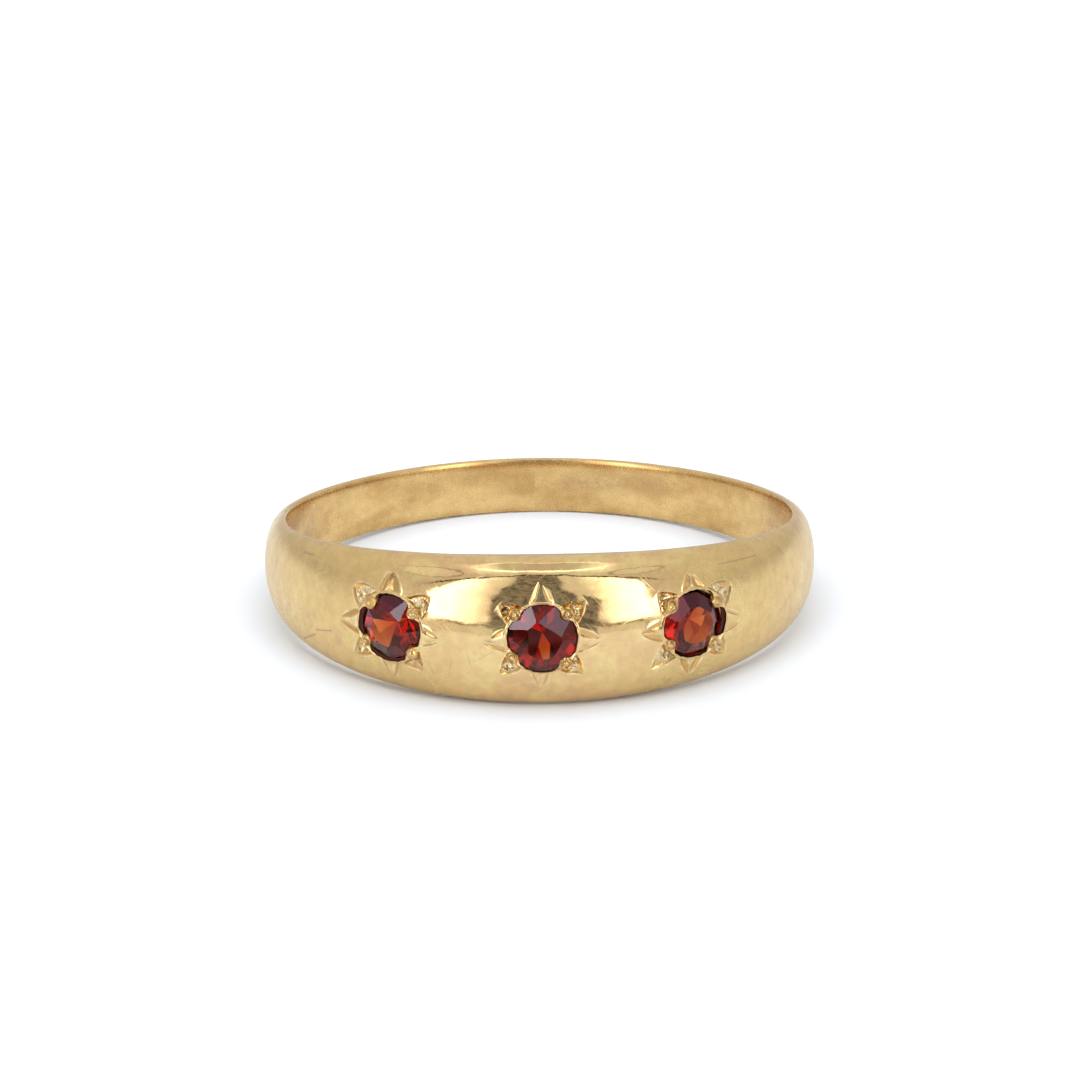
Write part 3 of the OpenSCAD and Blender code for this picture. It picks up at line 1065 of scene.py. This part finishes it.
class GoldPlaces:
    """Where a point of the band lies, how worn and cut it is there, and where painted shade and highlights
    go.
    """

    def __init__(self, tree):
        place = first_node(tree, "ShaderNodeTexCoord", out="Object")
        inputs = {0: place, 1: RING_MIDDLE.tolist()}
        centred = node("ShaderNodeVectorMath", inputs, operation="SUBTRACT")
        inputs = {"Vector": centred, "Angle": REST_TILT}
        self.upright = node("ShaderNodeVectorRotate", inputs, rotation_type="X_AXIS")
        x, y, self.z = parts(self.upright)
        self.turn = turn_of(x, y)
        self.inside = ramp(length(x, y), (FINGER_R + 0.12) * MM, (FINGER_R + 0.03) * MM)
        self.cloud = noise(self.upright, *CLOUD)
        self.fine_cloud = noise(self.upright, *FINE_CLOUD)
        self.grit = noise(self.upright, *GRIT)
        self.warm = ramp(self.cloud, 0.35, 0.55)
        self.worn = ramp(abs(self.turn) + self.cloud * 0.25 + self.z * -40.0, 0.40, 0.72)
        # Bright marks, for a painted highlight on cut edges and grain tops
        self.edge = first_node(tree, "ShaderNodeAttribute", out="Fac", attribute_name="edge")
        sunk = first_node(tree, "ShaderNodeAttribute", out="Fac", attribute_name="sunk")
        # Sunk marks, for painted shade in the cuts, painted light in the recesses and pits on their floors
        self.cut = ramp(sunk, 0.002, 0.024)
        self.recess = ramp(sunk, 0.065, 0.10)
        self.recess_floor = self.recess * ramp(sunk, 0.40, 0.30)
        # Painted shade, nearly black, in the seat next to each stone
        self.grime = ramp(sunk, 0.5, 0.9)
        self.strokes = stroke_marks(self.turn, self.z, DARK_STROKES)


def inner_colour(on):
    """Colour of the finger hole's wall, in faint bands with sooty stains."""
    bands = ramp(noise(combined(on.turn, on.z * 260.0), *BANDS), 0.35, 0.62)
    soot = stroke_marks(on.turn, on.z, INNER_STAINS) * ramp(on.fine_cloud, 0.35, 0.6)
    colour = mix(bands, GOLD["inner"], GOLD["inner_pale"])
    return mix(soot * SHARE["soot"], colour, GOLD["soot"])


def gold_colour(on):
    """Colour of the gold: wear and stains, the finger hole, painted shade in the cuts, painted light in the
    recesses, pits, a painted highlight on bright edges, dark strokes and painted shade in the seats.
    """
    by_rim = ramp(abs(on.z), 1.3 * MM, 2.2 * MM)
    stain = ramp(noise(on.upright, *STAINS), 0.54, 0.68) * calc("MAXIMUM", on.worn, by_rim)
    pitted = ramp(noise(on.upright, *PITS), 0.50, 0.60) * on.recess_floor
    # Painted highlight: a pale colour in patches on the bright cut edges and grain tops
    chipped = on.edge * blend(ramp(on.fine_cloud, 0.40, 0.62), 0.15, 0.75)
    colour = mix(on.warm, GOLD["head"], GOLD["warm"])
    colour = mix(on.worn * SHARE["worn"], colour, GOLD["worn"])
    colour = mix(stain * SHARE["stain"], colour, GOLD["stain"])
    colour = mix(on.inside, colour, inner_colour(on))
    # Painted shade: a darker amber colour in the cuts, in the grooves round the grains and on the grains
    colour = mix(on.cut, colour, GOLD["cut"])
    # Painted light: a paler, less amber colour in the corner recesses, for the cream light they catch
    colour = mix(on.recess, colour, GOLD["recess"])
    colour = mix(pitted * SHARE["pit"], colour, GOLD["pit"])
    # Painted highlight on the bright edges
    colour = mix(chipped, colour, GOLD["chipped"])
    colour = mix(on.strokes * SHARE["scratch"], colour, GOLD["scratch"])
    # Painted shade, nearly black, in the seats round the stones
    colour = mix(on.grime, colour, GOLD["grime"])
    shade = blend(ramp(on.fine_cloud, 0.35, 0.65), 0.90, 1.0) * blend(ramp(on.grit, 0.35, 0.62), 0.965, 1.0)
    return node("ShaderNodeVectorMath", {0: colour, "Scale": shade}, operation="SCALE")


def gold_roughness(on):
    """Polished on the head, satin where it is worn and in the finger hole."""
    hairs = calc("MAXIMUM", *(hair_scratches(on.turn, on.z, way) for way in HAIR_WAYS))
    satin = blend(on.warm, ROUGHNESS["worn"], ROUGHNESS["worn_warm"])
    rough = blend(on.worn, ROUGHNESS["head"], satin) + hairs * ROUGHER["hairs"]
    rough = rough + on.cut * ROUGHER["cut"] + on.strokes * ROUGHER["strokes"]
    rough = blend(on.inside, rough, ROUGHNESS["inside"])
    return rough + (on.grit - 0.5) * ROUGHER["grit"] + on.grime * ROUGHER["grime"]


def gold_bumps(on):
    """Slight waves, grit and the hairlines that polishing leaves along the band."""
    relief = noise(on.upright, *WAVES) * RELIEF["waves"] + on.grit * RELIEF["grit"]
    drawn = combined(on.turn * 0.0012, on.z)
    relief = relief + noise(drawn, *HAIRLINES) * RELIEF["hairlines"]
    return node("ShaderNodeBump", {"Height": relief, "Distance": MM, "Strength": 1.0})


def gold_material():
    """Pale yellow gold: polished on the head, satin and mottled on the shoulders, with fine scratches."""
    material, tree, metal = new_material("pale_gold")
    on = GoldPlaces(tree)
    feed_all(metal, {"Metallic": 1.0, "Base Color": gold_colour(on), "Roughness": gold_roughness(on)})
    feed(metal.inputs["Normal"], gold_bumps(on))
    return material


def garnet_material(name, gleam, density):
    """Clear red-brown garnet with colour in its depth, and a painted reflection that gleams more or less.
    """
    material, tree, glass = new_material(name)
    feed_all(glass, {"Base Color": (1, 1, 1, 1), "Roughness": 0.0, "IOR": GARNET_IOR})
    feed_all(glass, {"Transmission Weight": 1.0, "Specular Tint": gleam})
    depth = {"Color": GARNET_DEPTHS, "Density": density}
    volume = first_node(tree, "ShaderNodeVolumeAbsorption", depth)
    feed(tree.nodes["Material Output"].inputs["Volume"], volume)
    return material


def add_floor():
    """A wide pale floor that the ring lies on."""
    half = 2.0
    corners = [(-half, -half, 0), (half, -half, 0), (half, half, 0), (-half, half, 0)]
    material, _, paint = new_material("floor_white")
    feed_all(paint, {"Base Color": (0.83, 0.88, 0.955, 1), "Roughness": 0.8, "Specular IOR Level": 0.1})
    floor = add_object("floor", corners, [(0, 1, 2, 3)], material)


# The camera side of the surroundings, in degrees round from the front and up from the floor: how high its
# boxes reach at the middle, how that falls to both sides, and where the left box ends and leans
BOX_TOP = 53.0
BOX_TOP_FALL = 0.0083
BOX_LEFT = -60.0
BOX_LEFT_LEAN = 0.5

# Its other upright edges: where each lies, how far it moves, and over which rises it does
DARK_LEFT = {"at": -15.3, "moves": -7.5, "start": 42.0, "end": 12.0}
DARK_RIGHT = {"at": 9.5, "moves": 15.5, "start": 30.0, "end": 13.0}
BOX_RIGHT = {"at": 48.5, "moves": -6.0, "start": 24.0, "end": 40.0}

# Patches on the ceiling with a thin outline: middle and half size, in the same degrees
PATCHES = [
    {"turn": -68, "rise": 46, "half_turn": 20, "half_rise": 10},
    {"turn": 57, "rise": 47, "half_turn": 17, "half_rise": 6},
]

# The oval line in the ceiling: its middle and half sizes as shares of a unit way
OVAL_FORWARD = 0.2
OVAL_HALF_X = 0.355
OVAL_HALF_Y = 0.28

# Noise that the surroundings are broken and bent by: scale, detail and roughness
MOTTLE = (26.0, 3.0, 0.65)
BREAKS = (22.0, 3.0, 0.6)
RIPPLE = (7.0, 2.0, 0.5)
TURN_RIPPLE = 6.0
RISE_RIPPLE = 3.0

# Brightness of each part of the surroundings
BRIGHT = {
    "wall": 0.82, "side_low": 0.60, "side_high": 0.88, "ceiling": 0.93, "floor": 0.97,
    "patch": 0.98, "outline": 0.42, "box_near": 0.98, "box": 3.9,
    "dark": 0.12, "dark_mottle": 0.44, "line": 0.08, "low_line": 0.10,
    "in_oval": 0.74, "oval_ends": 1.3, "oval_front": 1.5, "oval": 2.0, "oval_most": 3.6,
}


def upright_edge(rise, at, moves, start, end):
    """Turn of an edge that moves over a stretch of rises."""
    return calc("MULTIPLY_ADD", ramp(rise, start, end), moves, at)


def camera_side(turn, rise):
    """Shares of the bright boxes, the dark between them, the line over them and the line under them."""
    reach = abs(turn)
    under_top = calc("MULTIPLY_ADD", turn * turn, -BOX_TOP_FALL, BOX_TOP) - rise
    box_left = calc("MULTIPLY_ADD", rise, BOX_LEFT_LEAN, BOX_LEFT)
    boxes = band(turn, box_left, upright_edge(rise, **BOX_RIGHT), 1.2)
    boxes = boxes * ramp(under_top, 0.4, 2.4) * ramp(rise, -2.8, -2.1)
    dark = band(turn, upright_edge(rise, **DARK_LEFT), upright_edge(rise, **DARK_RIGHT), 1.6)
    dark = dark * ramp(under_top, -0.6, 0.6) * ramp(rise, -3.1, -2.3)
    line = band(under_top, -1.4, 1.0, 0.4) * ramp(reach, 62.0, 52.0)
    low_line = band(rise, -3.4, -2.9, 0.25) * ramp(reach, 66.0, 58.0)
    return boxes, dark, line, low_line


def with_patches(turn, rise, mottle, light):
    """Brightness with the ceiling's outlined patches laid over it."""
    for patch in PATCHES:
        off_turn = (turn - patch["turn"]) * (1 / patch["half_turn"])
        off_rise = (rise - patch["rise"]) * (1 / patch["half_rise"])
        away = length(off_turn, off_rise) + (mottle - 0.5) * 0.5
        light = blend(ramp(away, 1.0, 0.9), light, BRIGHT["patch"])
        light = blend(band(away, 0.95, 1.06, 0.06), light, BRIGHT["outline"])
    return light


def with_oval(way, rise, light):
    """Brightness with the ceiling's oval line laid over it, brightest and broken at its back."""
    sideways, forward, _ = parts(way)
    x = sideways * (1 / OVAL_HALF_X)
    y = (-forward - OVAL_FORWARD) * (1 / OVAL_HALF_Y)
    oval = length(x, y)
    overhead = ramp(rise, 50.0, 54.0)
    hoop = band(oval, 0.87, 1.04, 0.06) * overhead
    inside = ramp(oval, 0.97, 0.93) * overhead
    ends = band(abs(x), 0.66, 1.16, 0.16) * overhead * band(y, -0.60, 0.95, 0.3)
    back = blend(ramp(noise(way, *BREAKS), 0.36, 0.56), BRIGHT["oval"], BRIGHT["oval_most"])
    light = blend(inside, light, BRIGHT["in_oval"])
    light = blend(ends, light, BRIGHT["oval_ends"])
    return blend(hoop, light, blend(ramp(y, -0.3, 0.8), BRIGHT["oval_front"], back))


def surroundings(way, turn, rise):
    """Strength of the light from a direction.

    Walls and ceiling are pale, with a bright box to each side of a dark camera side, and a bright oval line
    in the ceiling. Turns are degrees round from the front, to the right, and rises are degrees up.
    """
    ripple = noise(way, *RIPPLE) - 0.5
    turn = turn + ripple * TURN_RIPPLE
    rise = rise + ripple * RISE_RIPPLE
    reach = abs(turn)
    mottle = noise(way, *MOTTLE)
    side_wall = blend(ramp(rise, 0.0, 24.0), BRIGHT["side_low"], BRIGHT["side_high"])
    light = blend(ramp(reach, 62.0, 96.0), BRIGHT["wall"], side_wall)
    light = blend(ramp(rise, 36.0, 58.0), light, BRIGHT["ceiling"])
    light = blend(ramp(rise, -2.8, -3.6), light, BRIGHT["floor"])
    light = with_patches(turn, rise, mottle, light)
    boxes, dark, line, low_line = camera_side(turn, rise)
    light = blend(boxes, light, blend(ramp(reach, 18.0, 44.0), BRIGHT["box_near"], BRIGHT["box"]))
    light = blend(dark, light, blend(ramp(mottle, 0.36, 0.62), BRIGHT["dark"], BRIGHT["dark_mottle"]))
    light = blend(line, light, BRIGHT["line"])
    light = blend(low_line, light, BRIGHT["low_line"])
    return with_oval(way, rise, light)


def studio_light():
    """The painted surroundings, far away all round."""
    world = bpy.data.worlds.new("studio")
    bpy.context.scene.world = world
    world.use_nodes = True
    world.cycles.sampling_method = "NONE"
    way = first_node(world.node_tree, "ShaderNodeTexCoord", out="Generated")
    x, y, z = parts(way)
    strength = surroundings(way, calc("DEGREES", turn_of(x, y)), calc("DEGREES", calc("ARCSINE", z)))
    feed_all(world.node_tree.nodes["Background"], {"Color": (1, 1, 1, 1), "Strength": strength})


def add_low_card():
    """A card on the floor in front, seen only in reflections, with the surroundings below the horizon.

    It is painted as if seen from a little above the ring's middle.
    """
    eye_height = 2.8 * MM
    card_z = 0.05 * MM
    near_r = 26 * MM
    far_r = 1.9
    left = -64
    width = 120
    steps = 24
    points = []
    for step in range(steps + 1):
        turn = math.radians(left + width * step / steps)
        points += [(r * math.sin(turn), -r * math.cos(turn), card_z) for r in (near_r, far_r)]
    faces = [(2 * i, 2 * i + 1, 2 * i + 3, 2 * i + 2) for i in range(steps)]
    material, tree, _ = new_material("low_card")
    material.cycles.emission_sampling = "NONE"
    place = first_node(tree, "ShaderNodeTexCoord", out="Object")
    x, y, _ = parts(place)
    way = node("ShaderNodeVectorMath", {0: place}, operation="NORMALIZE")
    rise = calc("DEGREES", calc("ARCTAN2", -eye_height, length(x, y)))
    strength = surroundings(way, calc("DEGREES", turn_of(x, y)), rise)
    glow = node("ShaderNodeEmission", {"Color": (1, 1, 1, 1), "Strength": strength})
    feed(tree.nodes["Material Output"].inputs["Surface"], glow)
    card = add_object("low_card", points, faces, material)
    card.visible_camera = False
    card.visible_diffuse = False
    card.visible_transmission = False
    card.visible_shadow = False


def add_overhead():
    """A broad lamp straight above, which lights the floor to white and isn't mirrored in the gold."""
    lamp = bpy.data.lights.new("overhead", "AREA")
    lamp.shape = "DISK"
    lamp.size = 0.9
    lamp.energy = 1.75
    holder = bpy.data.objects.new("overhead", lamp)
    holder.location = (0, 0, 0.5)
    holder.visible_glossy = False
    holder.visible_transmission = False
    holder.visible_camera = False
    bpy.context.scene.collection.objects.link(holder)


def add_camera():
    """The photograph's view: a long lens low in front of the head, a little to its left."""
    distance = 0.42
    pixels_per_mm = 28.0
    frame_px = 1080
    rise = math.radians(21.46)
    turn = math.radians(-0.95)
    roll = math.radians(0.44)
    back = Vector((math.sin(turn) * math.cos(rise), -math.cos(turn) * math.cos(rise), math.sin(rise)))
    aim = Vector((0.025 * MM, 0.47 * MM, 2.408 * MM))
    data = bpy.data.cameras.new("camera")
    data.sensor_width = 36
    data.lens = pixels_per_mm * (distance / MM) / frame_px * data.sensor_width
    data.clip_start = 0.01
    data.clip_end = 10
    camera = bpy.data.objects.new("camera", data)
    bpy.context.scene.collection.objects.link(camera)
    camera.location = aim + back * distance
    camera.rotation_mode = "QUATERNION"
    camera.rotation_quaternion = (-back).to_track_quat("-Z", "Y") @ Quaternion((0, 0, 1), -roll)
    bpy.context.scene.camera = camera


def build():
    """Everything, in the order of the frame's pieces and then the stage."""
    points, faces, marks = band_mesh()
    band = add_piece("gold_band", points, faces, "band", gold_material())
    for name, values in marks.items():
        attribute = band.data.attributes.new(name, "FLOAT", "POINT")
        attribute.data.foreach_set("value", values.astype(np.float32))
    band.data.set_sharp_from_angle(angle=math.radians(18))
    add_stones()
    add_floor()
    studio_light()
    add_low_card()
    add_overhead()
    add_camera()
    bpy.context.scene.view_settings.view_transform = "Standard"


build()
